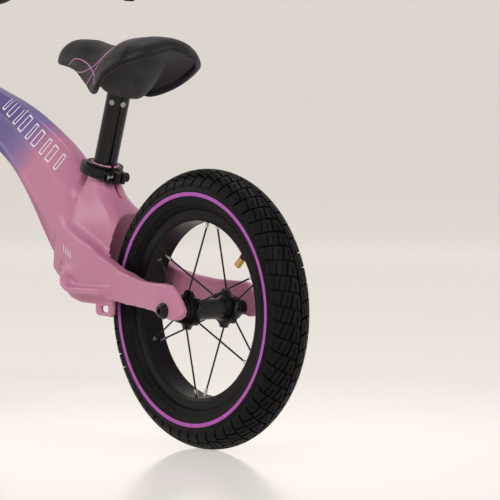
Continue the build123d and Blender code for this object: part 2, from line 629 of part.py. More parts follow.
# ---------------------------------------------------------------- fork and handlebar, steering axis along local Z
def fork():
    """Cast crown and blades, bored for the steerer and the front axle bolts."""
    out = FRONT_SPREAD / 2 + DROPOUT
    wide = GAP_HALF + 13
    front = [(0, CROWN_LOW + CROWN), (21, CROWN_LOW + CROWN), (31, CROWN_LOW + CROWN - 6), (wide - 4, CROWN_LOW),
             (wide, CROWN_LOW - 30), (wide + 3, 90), (out, 34), (out, -18), (0, -18)]
    face = make_face(Plane.YZ * Polyline(*(front + [(-y, z) for y, z in reversed(front[1:-1])]), close=True))
    shape = extrude(face, 60, both=True)
    side = [(-19, CROWN_LOW + CROWN), (19, CROWN_LOW + CROWN), (20, CROWN_LOW - 10), (17, 110), (FORK_RAKE + 13, 40),
            (FORK_RAKE + 13, -4), (FORK_RAKE + 7, -13), (FORK_RAKE - 7, -13), (FORK_RAKE - 13, -4),
            (FORK_RAKE - 13, 40), (-12, 110), (-18, CROWN_LOW - 10)]
    shape &= extrude(make_face(Plane.XZ * Polyline(*side, close=True)), 90, both=True)
    shape -= Pos(FORK_RAKE, 0, 0) * wheel_well(FRONT_SPREAD)
    shape -= Pos(FORK_RAKE, 0, 0) * Rot(90, 0, 0) * Cylinder(AXLE_BOLT_R + BOLT_GAP, 200)
    shape -= Pos(0, 0, CROWN_LOW + CROWN / 2) * Cylinder(STEERER_R, CROWN + 20)
    return one(shape)


def steerer():
    """Steel tube pressed in the crown, slotted at the top where its clamp sits."""
    low = CROWN_LOW + 2
    shape = Pos(0, 0, (low + STEERER_TOP) / 2) * (
        Cylinder(STEERER_R, STEERER_TOP - low) - Cylinder(BAR_R + SLIDE_GAP, STEERER_TOP - low + 2))
    return one(shape - Pos(-STEERER_R, 0, STEERER_TOP - 10) * Box(20, SEAT_SLOT, 30))


def headset_rings():
    """Crown race below the head tube and the cap above it, both tight on the steerer."""
    race_low = CROWN_LOW + CROWN
    race = ring(STEERER_R + 4.0, STEERER_R, HEADSET - 0.3, race_low)
    race += ring(HEAD_TUBE_R, STEERER_R, 3.5, race_low)
    cap = ring(STEERER_R + 4.0, STEERER_R, CAP_HEIGHT, HEAD_HIGH + 0.3)
    cap += ring(HEAD_TUBE_R + 1, STEERER_R, CAP_HEIGHT - 4, HEAD_HIGH + 1.0)
    return [one(race), one(cap)]


def bar_post():
    """Post that slides in the steerer and carries the rear half of the bar clamp."""
    high = STEERER_TOP + BAR_POST_UP
    low = STEERER_TOP - BAR_POST_IN
    tube = Pos(0, 0, (low + high - 8) / 2) * Cylinder(BAR_R, high - 8 - low)
    head = Pos(0, 0, high) * Rot(90, 0, 0) * Cylinder(BAR_CLAMP_R, BAR_CLAMP_WIDE)
    head += Pos(0, 0, high - 8) * Cylinder(BAR_R + 3.5, 20)
    shape = tube + head
    shape -= Pos(20 + 1, 0, high) * Box(40, 200, 44)
    shape -= Pos(0, 0, high) * Rot(90, 0, 0) * Cylinder(BAR_R + SLIDE_GAP, 200)
    shape -= Pos(0, 0, (low + high - 26) / 2 - 1) * Cylinder(BAR_R - BAR_WALL, high - 26 - low)
    return one(shape - bolt_holes(high, BAR_BOLT_R + THREAD_GAP))


def bolt_holes(high, radius):
    """Four bolts of the bar clamp, along the forward direction."""
    made = None
    for y in (-16, 16):
        for z in (-14.2, 14.2):
            hole = Pos(0.5, y, high + z) * Rot(0, 90, 0) * Cylinder(radius, 22)
            made = hole if made is None else made + hole
    return made


def bar_face():
    """Front half of the bar clamp."""
    high = STEERER_TOP + BAR_POST_UP
    shape = Pos(0, 0, high) * Rot(90, 0, 0) * (
        Cylinder(BAR_CLAMP_R, BAR_CLAMP_WIDE) - Cylinder(BAR_R + SLIDE_GAP, 200))
    shape &= Pos(20 + 2.2, 0, high) * Box(40, 200, 60)
    for y in (-16, 16):
        for z in (-14.2, 14.2):
            shape -= Pos(9.8 + 10, y, high + z) * Rot(0, 90, 0) * Cylinder(4.5, 20)
    return one(shape - bolt_holes(high, BAR_BOLT_R + BOLT_GAP))


def bar_bolts():
    """Four bolts with hexagon sockets."""
    high = STEERER_TOP + BAR_POST_UP
    made = []
    for y in (-16, 16):
        for z in (-14.2, 14.2):
            shank = Pos(1.5, y, high + z) * Rot(0, 90, 0) * Cylinder(BAR_BOLT_R, 17)
            head = Pos(11.8, y, high + z) * Rot(0, 90, 0) * Cylinder(4.2, 4)
            socket = Pos(11.8, y, high + z) * Rot(0, 90, 0) * extrude(RegularPolygon(2.3, 6), 3)
            made.append(one(shank + head - socket))
    return made


def bar_path():
    """Centre line of the handlebar, from the middle to the left end."""
    bend = BAR_FLAT / 2
    end = BAR_WIDTH / 2
    return [(0, 0, 0), (0, bend, 0), (-4, bend + 34, BAR_RISE), (-BAR_SWEEP, end, BAR_RISE + 4)]


def handlebar():
    """Bent tube with a low rise and a slight sweep to the rear."""
    points = bar_path()
    line = [Vector(*p) for p in reversed(points[1:])]
    line = [Vector(v.X, -v.Y, v.Z) for v in line] + [Vector(*p) for p in points[1:]]
    path = FilletPolyline(*line, radius=28)
    start = Plane(origin=path @ 0, z_dir=path % 0)
    tube = sweep(start * Circle(BAR_R), path=path)
    hollow = sweep(start * Circle(BAR_R - BAR_WALL), path=path)
    return one(Pos(*bar_centre()) * (tube - hollow))


def bar_centre():
    """Middle of the handlebar on the steering axis."""
    return 0, 0, STEERER_TOP + BAR_POST_UP


def grip(side):
    """Ribbed rubber grip with a round end, on one end of the bar."""
    points = bar_path()
    inner, outer = Vector(*points[2]), Vector(*points[3])
    run = (outer - inner).normalized()
    shape = Cylinder(GRIP_R, GRIP_LENGTH)
    pitch = (GRIP_LENGTH - 24) / GRIP_RIBS
    for k in range(GRIP_RIBS):
        z = -GRIP_LENGTH / 2 + 12 + (k + 0.5) * pitch
        shape -= Pos(0, 0, z) * (Cylinder(GRIP_R + 1, pitch * 0.4) - Cylinder(GRIP_R - 1.4, pitch * 0.4 + 1))
    shape += Pos(0, 0, -GRIP_LENGTH / 2 + 3) * Cylinder(GRIP_R + 4.5, 6)
    shape += Pos(0, 0, GRIP_LENGTH / 2 + GRIP_END / 2 - 1) * Cylinder(GRIP_END_R, GRIP_END + 2)
    shape -= Pos(0, 0, -3) * Cylinder(BAR_R, GRIP_LENGTH + 6.4)
    centre = outer - run * (GRIP_LENGTH / 2 - 0.4)
    if side < 0:
        run = Vector(run.X, -run.Y, run.Z)
        centre = Vector(centre.X, -centre.Y, centre.Z)
    return one(Pos(*bar_centre()) * (Plane(origin=centre, z_dir=run) * shape))


# ---------------------------------------------------------------- saddle, origin at the top of the post
SADDLE = [  # forward, half width, top, lower edge
    (-99, 26, 52, 40), (-91, 44, 57, 35), (-75, 58, 60, 28), (-51, 62, 60, 18), (-28, 55, 56, 7),
    (-6, 44, 54, 1), (20, 35, 58, 14), (47, 31, 65, 31), (72, 28, 67, 38), (91, 21, 63, 41), (101, 11, 56, 44)]


def saddle_curve(row, drop, pull):
    """Points of one cross section at a depth under the top of the cover."""
    x, half, top, edge = row
    fall = drop * min(1.0, (top - edge) * 0.42 / PAD_THICK)
    narrow = half - fall * 0.55 - pull
    crown = top - fall
    shoulder = edge + (crown - edge) * 0.74
    return [(-narrow, edge), (-narrow * 0.74, shoulder), (0, crown), (narrow * 0.74, shoulder), (narrow, edge)]


def saddle_band(rows, outer_drop, inner_drop, pull):
    """Curved shell over the given cross sections, between two depths under the top."""
    faces = []
    for row in rows:
        outer = [Vector(y, z) for y, z in saddle_curve(row, outer_drop, pull)]
        inner = [Vector(y, z) for y, z in saddle_curve(row, inner_drop, pull + 0.6)]
        plane = Plane(origin=(row[0], 0, 0), x_dir=(0, 1, 0), z_dir=(1, 0, 0))
        with BuildSketch(plane) as face:
            with BuildLine():
                Spline(*outer)
                Line(outer[-1], inner[-1])
                Spline(*reversed(inner))
                Line(inner[0], outer[0])
            make_face()
        faces.append(face.sketch)
    return loft(faces)


def saddle_above(rows, drop):
    """Everything above a depth under the top of the cover."""
    faces = []
    for row in rows:
        curve = [Vector(y, z) for y, z in saddle_curve(row, drop, 0.8)]
        reach, edge = 150, curve[0].Y
        plane = Plane(origin=(row[0], 0, 0), x_dir=(0, 1, 0), z_dir=(1, 0, 0))
        with BuildSketch(plane) as face:
            with BuildLine():
                Spline(*curve)
                Polyline(curve[-1], (reach, edge), (reach, 200), (-reach, 200), (-reach, edge), curve[0])
            make_face()
        faces.append(face.sketch)
    return loft(faces)


def saddle_cover():
    """Padded cover over the whole saddle."""
    return one(saddle_band(SADDLE, 0.0, PAD_THICK, 0.0))


def saddle_base():
    """Moulded shell under the cover, with a boss and a spigot for the post."""
    low = PAD_THICK + PAD_GAP
    shell = saddle_band(SADDLE, low, low + BASE_WALL, 0.8) & Pos(1, 0, 50) * Box(184, 200, 200)
    tilt = Plane(origin=(0, 0, 0), x_dir=Vector(0, 1, 0).cross(SEAT_UP), z_dir=SEAT_UP)
    boss = tilt * Pos(0, 0, 30) * Cone(BOSS_R, BOSS_R + 7, 60)
    boss -= saddle_above(SADDLE, low + 0.3)
    spigot = tilt * Pos(0, 0, -SPIGOT / 2 + 1) * Cylinder(SEAT_POST_R - POST_WALL - SLIDE_GAP, SPIGOT + 2)
    shape = shell + boss + spigot
    for turn in SCREW_TURNS:
        shape -= tilt * Rot(0, 0, turn) * Pos(10, 0, -9) * Rot(0, 90, 0) * Cylinder(SADDLE_SCREW_R + THREAD_GAP, 12)
    return one(shape)


SCREW_TURNS = (170.0, 118.0)


def seat_post():
    """Round tube, drilled near its top for the saddle screws."""
    height = POST_OUT + POST_IN
    shape = Pos(0, 0, -height / 2) * (Cylinder(SEAT_POST_R, height) - Cylinder(SEAT_POST_R - POST_WALL, height + 2))
    for turn in SCREW_TURNS:
        shape -= Rot(0, 0, turn) * Pos(12, 0, -9) * Rot(0, 90, 0) * Cylinder(SADDLE_SCREW_R + BOLT_GAP, 8)
    return one(shape)


def saddle_screws():
    """Round-headed screws through the post into the spigot."""
    made = []
    for turn in SCREW_TURNS:
        shank = Pos(9.6, 0, -9) * Rot(0, 90, 0) * Cylinder(SADDLE_SCREW_R, 9)
        head = Pos(SEAT_POST_R + 0.7, 0, -9) * Rot(0, 90, 0) * Cylinder(3.2, 1.4)
        made.append(one(Rot(0, 0, turn) * (shank + head)))
    return made


save("frame", frame())
save("headset_bearings", *headset())
STEERING = along(STEER_FOOT, STEER_UP)
save("fork", STEERING * fork())
save("steerer", STEERING * steerer())
save("headset_rings", *[STEERING * s for s in headset_rings()])
save("bar_post", STEERING * bar_post())
save("bar_face", STEERING * bar_face())
save("bar_bolts", *[STEERING * s for s in bar_bolts()])
save("handlebar", STEERING * handlebar())
save("left_grip", STEERING * grip(1))
save("right_grip", STEERING * grip(-1))
SEAT_CLAMP = along(SEAT_TOP - SEAT_UP * (CLAMP_LIP + CLAMP_HEIGHT / 2), SEAT_UP)
save_clamp("seat", SEAT_CLAMP, SEAT_TUBE_R)
BAR_CLAMP = along(STEER_FOOT + STEER_UP * (STEERER_TOP - CLAMP_LIP - CLAMP_HEIGHT / 2), STEER_UP)
save_clamp("bar", BAR_CLAMP, STEERER_R)
POST = along(SADDLE_AT, SEAT_UP)
save("seat_post", POST * seat_post())
save("saddle_screws", *[POST * s for s in saddle_screws()])
save("saddle_cover", Pos(*SADDLE_AT) * saddle_cover())
save("saddle_base", Pos(*SADDLE_AT) * saddle_base())
save_wheel("rear", REAR_AXLE, REAR_SPREAD)
save_wheel("front", FRONT_AXLE, FRONT_SPREAD)
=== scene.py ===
"""Visual model of a child's balance bike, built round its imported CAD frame.

Metres, +X forward, +Y to the rider's left, +Z up, origin on the floor between the wheels.
"""

import json
import math

import bmesh
import bpy
import numpy as np
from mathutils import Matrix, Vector
from mathutils.bvhtree import BVHTree


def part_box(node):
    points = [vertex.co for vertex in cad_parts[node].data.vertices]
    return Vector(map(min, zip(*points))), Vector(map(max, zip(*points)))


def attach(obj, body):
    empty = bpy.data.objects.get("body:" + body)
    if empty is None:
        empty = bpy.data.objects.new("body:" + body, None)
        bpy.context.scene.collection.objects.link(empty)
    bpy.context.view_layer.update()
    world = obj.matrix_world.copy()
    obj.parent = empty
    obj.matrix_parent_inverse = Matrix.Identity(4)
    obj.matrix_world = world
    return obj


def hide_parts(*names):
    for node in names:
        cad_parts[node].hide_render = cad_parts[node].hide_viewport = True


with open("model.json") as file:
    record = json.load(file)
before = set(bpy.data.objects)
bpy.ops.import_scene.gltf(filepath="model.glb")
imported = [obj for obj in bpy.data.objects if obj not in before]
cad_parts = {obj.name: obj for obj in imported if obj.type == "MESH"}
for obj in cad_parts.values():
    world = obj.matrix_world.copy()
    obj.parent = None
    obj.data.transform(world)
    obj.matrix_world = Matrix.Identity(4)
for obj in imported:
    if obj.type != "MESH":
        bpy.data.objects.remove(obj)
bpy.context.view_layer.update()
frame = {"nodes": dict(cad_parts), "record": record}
NODES = frame["nodes"]
MM = 0.001


def centre(node):
    """Middle of a CAD node's box."""
    low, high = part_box(node)
    return (Vector(low) + Vector(high)) / 2


AXLES = {"rear": centre("rear_rim"), "front": centre("front_rim")}
TYRE_R = AXLES["rear"].z

# ---------------------------------------------------------------- camera, light and floor
LENS = 132.8
SENSOR_WIDTH = 36
SIGHT_LENGTH = 50
CAMERA_FROM_REAR_AXLE = Vector((-1.5383, 1.2735, 0.1089))
CAMERA_BACK = Vector((-0.7549, 0.6555, 0.0225))
WORLD_STRENGTH = 0.4
# Name, place, target, width and height, watts.
LIGHTS = [
    ("key", (-1.9, 2.1, 1.9), (-0.1, 0, 0.25), (1.3, 1.0), 30),
    ("rear", (-2.8, -0.9, 1.1), (-0.2, 0, 0.2), (0.7, 1.4), 15),
    ("front", (2.2, 1.6, 1.6), (0.1, 0, 0.3), (1.2, 1.2), 11),
    ("top", (0, -0.2, 2.4), (0, 0, 0.2), (1.8, 1.2), 15),
]
FLOOR_COLOUR = (0.863, 0.823, 0.775, 1)
FLOOR_SHADE = 0.35
FLOOR_GLOW = 0.6
# Distances from the rear wheel's foot between which the floor turns from smooth to rough.
FLOOR_SPAN = (0.05, 0.9)
FLOOR_ROUGHNESS = (0.06, 0.5)
# The floor is a flat disc that curves up into a round wall.
FLAT_R = 9
CURVE_R = 2
WALL_TOP = 9
FLOOR_TURNS = 64
CURVE_STEPS = 24


def make_camera():
    camera = bpy.data.objects.new("camera", bpy.data.cameras.new("camera"))
    bpy.context.scene.collection.objects.link(camera)
    camera.data.lens = LENS
    camera.data.sensor_width = SENSOR_WIDTH
    camera.data.clip_end = SIGHT_LENGTH
    camera.location = AXLES["rear"] + CAMERA_FROM_REAR_AXLE
    camera.rotation_mode = "QUATERNION"
    camera.rotation_quaternion = (-CAMERA_BACK).to_track_quat("-Z", "Y")
    bpy.context.scene.camera = camera
    bpy.context.scene.view_settings.view_transform = "Standard"


def area_light(name, place, target, size, power):
    light = bpy.data.lights.new(name, "AREA")
    light.shape = "RECTANGLE"
    light.size, light.size_y = size
    light.energy = power
    lamp = bpy.data.objects.new(name, light)
    bpy.context.scene.collection.objects.link(lamp)
    lamp.location = place
    lamp.rotation_mode = "QUATERNION"
    lamp.rotation_quaternion = (Vector(target) - Vector(place)).to_track_quat("-Z", "Y")


def floor_material():
    """Pale material with a glow, smooth round the rear wheel's foot and rougher away from it."""
    material = surface("floor", tuple(FLOOR_SHADE * c for c in FLOOR_COLOUR[:3]), 0.4)
    shader = shader_of(material)
    length = operation(material, "ShaderNodeVectorMath", "DISTANCE")
    link(material, own_place(material), length.inputs[0])
    length.inputs[1].default_value = (AXLES["rear"].x, 0, 0)
    near, far = FLOOR_SPAN
    smooth, rough = FLOOR_ROUGHNESS
    span = add(material, "ShaderNodeMapRange", From_Min=near, From_Max=far, To_Min=smooth, To_Max=rough)
    link(material, length.outputs["Value"], span.inputs["Value"])
    link(material, span.outputs["Result"], shader.inputs["Roughness"])
    shader.inputs["Emission Color"].default_value = FLOOR_COLOUR
    shader.inputs["Emission Strength"].default_value = FLOOR_GLOW
    return material


def floor_mesh():
    """Flat disc, quarter-round curve and upright wall, turned round the origin."""
    profile = [(FLAT_R, 0)]
    for k in range(1, CURVE_STEPS + 1):
        a = math.radians(90 * k / CURVE_STEPS)
        profile.append((FLAT_R + CURVE_R * math.sin(a), CURVE_R - CURVE_R * math.cos(a)))
    profile.append((FLAT_R + CURVE_R, WALL_TOP))
    verts = [(0, 0, 0)]
    for radius, height in profile:
        for t in range(FLOOR_TURNS):
            b = 2 * math.pi * t / FLOOR_TURNS
            verts.append((radius * math.cos(b), radius * math.sin(b), height))
    faces = [(0, 1 + t, 1 + (t + 1) % FLOOR_TURNS) for t in range(FLOOR_TURNS)]
    for k in range(len(profile) - 1):
        ring = 1 + k * FLOOR_TURNS
        for t in range(FLOOR_TURNS):
            a, b = ring + t, ring + (t + 1) % FLOOR_TURNS
            faces.append((a, a + FLOOR_TURNS, b + FLOOR_TURNS, b))
    mesh = bpy.data.meshes.new("floor")
    mesh.from_pydata(verts, [], faces)
    mesh.shade_smooth()
    return mesh


def make_studio():
    """Pale world, four soft lights, and a pale floor that mirrors softly close to the rear wheel."""
    world = bpy.data.worlds.new("studio")
    bpy.context.scene.world = world
    world.use_nodes = True
    back = world.node_tree.nodes["Background"]
    back.inputs["Color"].default_value = FLOOR_COLOUR
    back.inputs["Strength"].default_value = WORLD_STRENGTH
    for light in LIGHTS:
        area_light(*light)
    floor = bpy.data.objects.new("floor", floor_mesh())
    floor.data.materials.append(floor_material())
    bpy.context.scene.collection.objects.link(floor)


# ---------------------------------------------------------------- materials
def surface(name, colour, roughness, metallic=0.0, specular=0.5, coat=0.0, coat_roughness=0.08, sheen=0.0):
    """Principled material with its plain values set."""
    material = bpy.data.materials.new(name)
    material.use_nodes = True
    shader = material.node_tree.nodes["Principled BSDF"]
    shader.inputs["Base Color"].default_value = (*colour, 1)
    shader.inputs["Roughness"].default_value = roughness
    shader.inputs["Metallic"].default_value = metallic
    shader.inputs["Specular IOR Level"].default_value = specular
    shader.inputs["Coat Weight"].default_value = coat
    shader.inputs["Coat Roughness"].default_value = coat_roughness
    shader.inputs["Sheen Weight"].default_value = sheen
    return material


def add(material, kind, **inputs):
    """New node with default values by socket name, where _ stands for a space."""
    node = material.node_tree.nodes.new(kind)
    for key, value in inputs.items():
        node.inputs[key.replace("_", " ")].default_value = value
    return node


def operation(material, kind, name):
    """New maths node set to an operation."""
    node = add(material, kind)
    node.operation = name
    return node


def link(material, source, target):
    material.node_tree.links.new(source, target)


def shader_of(material):
    return material.node_tree.nodes["Principled BSDF"]


def own_place(material):
    """Socket with the shaded point in the object's own frame."""
    return add(material, "ShaderNodeTexCoord").outputs["Object"]


def noise(material, scale, detail=4.0, stretch=None):
    """Noise in the object's own frame, in cycles per metre."""
    where = own_place(material)
    if stretch:
        mapping = add(material, "ShaderNodeMapping", Scale=stretch)
        link(material, where, mapping.inputs["Vector"])
        where = mapping.outputs["Vector"]
    node = add(material, "ShaderNodeTexNoise", Scale=scale, Detail=detail, Roughness=NOISE_ROUGHNESS)
    link(material, where, node.inputs["Vector"])
    return node.outputs["Fac"]


def ramp(material, source, stops):
    """Colour ramp from (place, colour) stops."""
    node = add(material, "ShaderNodeValToRGB")
    while len(node.color_ramp.elements) < len(stops):
        node.color_ramp.elements.new(0.5)
    for element, (place, colour) in zip(node.color_ramp.elements, stops):
        element.position = place
        element.color = (*colour, 1)
    link(material, source, node.inputs["Fac"])
    return node.outputs["Color"]


def grey(value):
    return (value, value, value)


def bump(material, height, strength, distance):
    """Bump of a height output, in metres."""
    node = add(material, "ShaderNodeBump", Strength=strength, Distance=distance)
    link(material, height, node.inputs["Height"])
    link(material, node.outputs["Normal"], shader_of(material).inputs["Normal"])


def colour_by(material, source, stops):
    link(material, ramp(material, source, stops), shader_of(material).inputs["Base Color"])


def roughness_by(material, source, low, high):
    """Roughness that wanders between two values."""
    stops = [(0.3, grey(low)), (0.7, grey(high))]
    link(material, ramp(material, source, stops), shader_of(material).inputs["Roughness"])


def spread(colour, low=0.85, high=1.12):
    """Two ramp stops round a colour, as shares of it."""
    return [(0.35, tuple(c * low for c in colour)), (0.65, tuple(min(1.0, c * high) for c in colour))]


NOISE_ROUGHNESS = 0.55
PINK = (0.50, 0.19, 0.31)
MAUVE = (0.30, 0.145, 0.31)
VIOLET = (0.165, 0.115, 0.315)
VIOLET_DEEP = (0.11, 0.08, 0.25)
BRASS = (0.62, 0.4, 0.14)
MAGENTA = (0.42, 0.085, 0.43)
OFF_WHITE = (0.78, 0.76, 0.77)
WELT = (0.5, 0.2, 0.46)
# The beam's colours turn along this direction, between these distances from the origin.
FADE_ALONG = (0.735, 0, 0.678)
FADE_START = 0.218
FADE_END = 0.300
FADE_WOBBLE = 0.03
FADE_STOPS = [(0.0, PINK), (0.12, PINK), (0.38, MAUVE), (0.62, VIOLET), (1.0, VIOLET_DEEP)]


def paint():
    """Satin paint that turns from pink to violet along the beam, with a soft mottle."""
    material = surface("frame_paint", PINK, 0.4, specular=0.35, coat=0.25, coat_roughness=0.2)
    dot = operation(material, "ShaderNodeVectorMath", "DOT_PRODUCT")
    link(material, own_place(material), dot.inputs[0])
    dot.inputs[1].default_value = FADE_ALONG
    wobble = operation(material, "ShaderNodeMath", "MULTIPLY_ADD")
    link(material, noise(material, 14, detail=2.0), wobble.inputs[0])
    wobble.inputs[1].default_value = FADE_WOBBLE
    link(material, dot.outputs["Value"], wobble.inputs[2])
    place = add(material, "ShaderNodeMapRange", From_Min=FADE_START, From_Max=FADE_END)
    link(material, wobble.outputs["Value"], place.inputs["Value"])
    colour_by(material, place.outputs["Result"], FADE_STOPS)
    roughness_by(material, noise(material, 90), 0.33, 0.42)
    bump(material, noise(material, 900, detail=2.0), 0.12, 0.0002)
    return material


# Plain values, then mottle (colour, darkest share, lightest share), range of roughness, the mottle's
# scale per metre, and grain (scale per metre, depth in metres).
FINISHES = {
    "fork_paint": dict(
        colour=VIOLET_DEEP, roughness=0.36, coat=0.35, coat_roughness=0.22,
        mottle=(VIOLET_DEEP, 0.9, 1.15), rough=(0.33, 0.42), scale=20, grain=(900, 0.0002)),
    "black_gloss": dict(
        colour=grey(0.002), roughness=0.18, specular=0.22, coat=0.12, coat_roughness=0.06,
        rough=(0.12, 0.22), scale=70, grain=(700, 0.00006)),
    "black_satin": dict(
        colour=grey(0.004), roughness=0.34, specular=0.2,
        mottle=(grey(0.005), 0.7, 1.4), rough=(0.3, 0.44), scale=120, grain=(1400, 0.0001)),
    "tyre_rubber": dict(
        colour=grey(0.004), roughness=0.45, specular=0.1,
        mottle=(grey(0.004), 0.7, 1.5), rough=(0.38, 0.55), scale=160, grain=(2200, 0.00025)),
    "tube_rubber": dict(
        colour=grey(0.006), roughness=0.5, specular=0.3,
        mottle=(grey(0.006),), rough=(0.42, 0.6), scale=200, grain=(2500, 0.0001)),
    "rim_black": dict(
        colour=grey(0.003), roughness=0.28, specular=0.14,
        mottle=(grey(0.004), 0.7, 1.4), rough=(0.28, 0.4), scale=60, grain=(1200, 0.00008)),
    "spoke_black": dict(
        colour=grey(0.004), roughness=0.34, specular=0.3,
        mottle=(grey(0.004),), rough=(0.25, 0.4), scale=300),
    "nipple_steel": dict(
        colour=grey(0.62), roughness=0.24, metallic=1.0,
        mottle=(grey(0.6),), rough=(0.18, 0.34), scale=500),
    "hub_black": dict(
        colour=grey(0.003), roughness=0.22, specular=0.25, coat=0.1,
        mottle=(grey(0.004), 0.7, 1.5), rough=(0.18, 0.34), scale=150, grain=(1600, 0.00008)),
    "bare_steel": dict(
        colour=grey(0.32), roughness=0.32, metallic=1.0, stretch=(1, 1, 12),
        mottle=(grey(0.32),), rough=(0.25, 0.42), scale=260, grain=(1800, 0.00005)),
    "valve_brass": dict(
        colour=BRASS, roughness=0.22, metallic=1.0,
        mottle=(BRASS,), rough=(0.16, 0.3), scale=400, grain=(2400, 0.00005)),
    "base_plastic": dict(
        colour=grey(0.028), roughness=0.5, specular=0.25,
        mottle=(grey(0.03), 0.75, 1.3), rough=(0.5, 0.72), scale=60, grain=(1500, 0.0003)),
    "grip_rubber": dict(
        colour=grey(0.008), roughness=0.62, specular=0.25,
        mottle=(grey(0.008),), rough=(0.55, 0.78), scale=120, grain=(1800, 0.0003)),
    "stripe": dict(
        colour=MAGENTA, roughness=0.42, specular=0.3,
        mottle=(MAGENTA, 0.88, 1.1), rough=(0.36, 0.5), scale=120, grain=(2000, 0.00012)),
    "decal_white": dict(
        colour=OFF_WHITE, roughness=0.35, coat=0.3,
        mottle=(OFF_WHITE, 0.94, 1.04), rough=(0.3, 0.42), scale=90, grain=(900, 0.0001)),
    "piping": dict(
        colour=WELT, roughness=0.45, specular=0.4,
        mottle=(WELT, 0.9, 1.1), rough=(0.4, 0.55), scale=200, grain=(3000, 0.0001)),
}


def finished(name, rough, scale, mottle=None, grain=None, stretch=None, **values):
    """Material with mottled colour, mottled roughness and a fine grain."""
    material = surface(name, **values)
    field = noise(material, scale, stretch=stretch)
    if mottle:
        colour_by(material, field, spread(*mottle))
    roughness_by(material, field, *rough)
    if grain:
        grain_scale, depth = grain
        bump(material, noise(material, grain_scale, detail=3.0), 0.35, depth)
    return material


def cover_material():
    """Fine-grained saddle cover with a soft satin sheen."""
    material = surface("cover", grey(0.005), 0.4, specular=0.24, sheen=0.02)
    colour_by(material, noise(material, 40), spread(grey(0.005), 0.75, 1.3))
    roughness_by(material, noise(material, 150), 0.36, 0.5)
    cells = add(material, "ShaderNodeTexVoronoi", Scale=900)
    cells.feature = "DISTANCE_TO_EDGE"
    link(material, own_place(material), cells.inputs["Vector"])
    bump(material, cells.outputs["Distance"], 0.3, 0.0004)
    return material


def make_materials():
    made = {name: finished(name, **values) for name, values in FINISHES.items()}
    made["frame_paint"] = paint()
    made["cover"] = cover_material()
    return made


# ---------------------------------------------------------------- mesh helpers
def new_object(name, verts, faces, body, materials, marks=None):
    """Smooth-shaded object from arrays, in the frame of the CAD, riding on a CAD body."""
    mesh = bpy.data.meshes.new(name)
    mesh.from_pydata([tuple(v) for v in verts], [], [tuple(int(i) for i in f) for f in faces])
    mesh.shade_smooth()
    for material in materials:
        mesh.materials.append(material)
    if marks is not None:
        mesh.polygons.foreach_set("material_index", np.asarray(marks, dtype=np.int32))
    mesh.update()
    made = bpy.data.objects.new(name, mesh)
    bpy.context.scene.collection.objects.link(made)
    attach(made, body)
    return made


def ring_faces(rings, points, closed=False):
    """Quads between rings of points, stored ring after ring; closed joins the last ring to the first."""
    r = np.arange(rings if closed else rings - 1)
    rr, cc = np.meshgrid(r, np.arange(points), indexing="ij")
    r2, c2 = (rr + 1) % rings, (cc + 1) % points
    quads = [rr * points + cc, rr * points + c2, r2 * points + c2, r2 * points + cc]
    return np.stack(quads, -1).reshape(-1, 4)


# ---------------------------------------------------------------- tyre, in mm
SECTION_R = 25.5
RING_R = TYRE_R / MM - SECTION_R
PITCHES = 56
GROOVE_DEPTH = 2.6
SIPE_SHARE = 0.6
GROOVE_LEAD = 12.0
GROOVE_REACH = 33.0
# Radius at which a groove's lead is measured, as a share of the ring's.
LEAD_RADIUS = 1.15
# Arc length from the crown at which the blocks end, and how they fade into the side wall.
SHOULDER = 30
FADE_LENGTH = 6
WALL_LENGTH = 5
WALL_DEPTH = 1.1
STRIPE_ANGLES = (90.0, 99.5)
STRIPE_EDGE = 1.2
# Columns of one pitch: (share of the pitch, block surface or not, part of the sipe or not).
COLUMNS = [
    (0.00, 0, 0), (0.115, 0, 0), (0.15, 1, 0), (0.20, 1, 0), (0.38, 1, 0),
    (0.42, 1, 1), (0.70, 1, 1), (0.92, 1, 1), (0.965, 1, 0),
]
# Rows from the crown outwards: (arc length, block height share, sipe depth share, band of the pitch, lean).
ROWS = [
    (0.0, 0, 0, 0, 0), (0.7, 0, 0, 0, 0), (1.2, 1, 0, 0, 0), (2.0, 1, 0, 0, 0.5), (4.2, 1, 0, 0, 1),
    (4.5, 1, 1, 0, 1), (5.3, 1, 1, 0, 1), (5.6, 1, 0, 0, 1), (8.4, 1, 0, 0, 4), (9.2, 1, 0, 0, 5),
    (9.7, 0, 0, 0, 5), (10.9, 0, 0, 1, 5), (11.4, 1, 0, 1, 5), (12.2, 1, 0, 1, 5), (14.6, 1, 0, 1, 5),
    (14.9, 1, 1, 1, 5), (15.8, 1, 1, 1, 5), (16.1, 1, 0, 1, 5), (19.0, 1, 0, 1, 5), (19.8, 1, 0, 1, 5),
    (20.2, 0, 0, 1, 5), (21.4, 0, 0, 2, 5), (21.9, 1, 0, 2, 5), (22.7, 1, 0, 2, 4), (26.5, 1, 0, 2, 1),
    (30.5, 0.95, 0, 2, 0), (32.6, 0.8, 0, 2, 0), (34.2, 0.12, 0, 2, 0), (35.5, 0.0, 0, 2, 0),
]
STAGGER = (0.0, 0.05, 0.10)
# Side wall from the tread to the bead: (degrees from the crown, depth below the section).
SIDE_WALL = [
    (84, 1.0), (STRIPE_ANGLES[0] - STRIPE_EDGE, 0.95), (STRIPE_ANGLES[0], 0.45), (92, 0.3), (94.7, 0.25),
    (97.5, 0.3), (STRIPE_ANGLES[1], 0.45), (STRIPE_ANGLES[1] + STRIPE_EDGE, 0.95), (108, 1.0), (114, 0.9),
    (118, 0.8), (119.5, 0.35), (121, 0.35), (122.5, 0.9), (128, 0.9), (132, 0.6), (136.4, 0.5),
]
# Bead and inner face of the left half: (sideways, radius), then the inner face's crown.
BEAD = [(12.6, 106.5), (12.6, 102.0), (9.6, 102.0), (8.6, 105.0), (20.0, 119.0), (17.0, 139.0)]
INNER_CROWN = (0.0, 148.0)


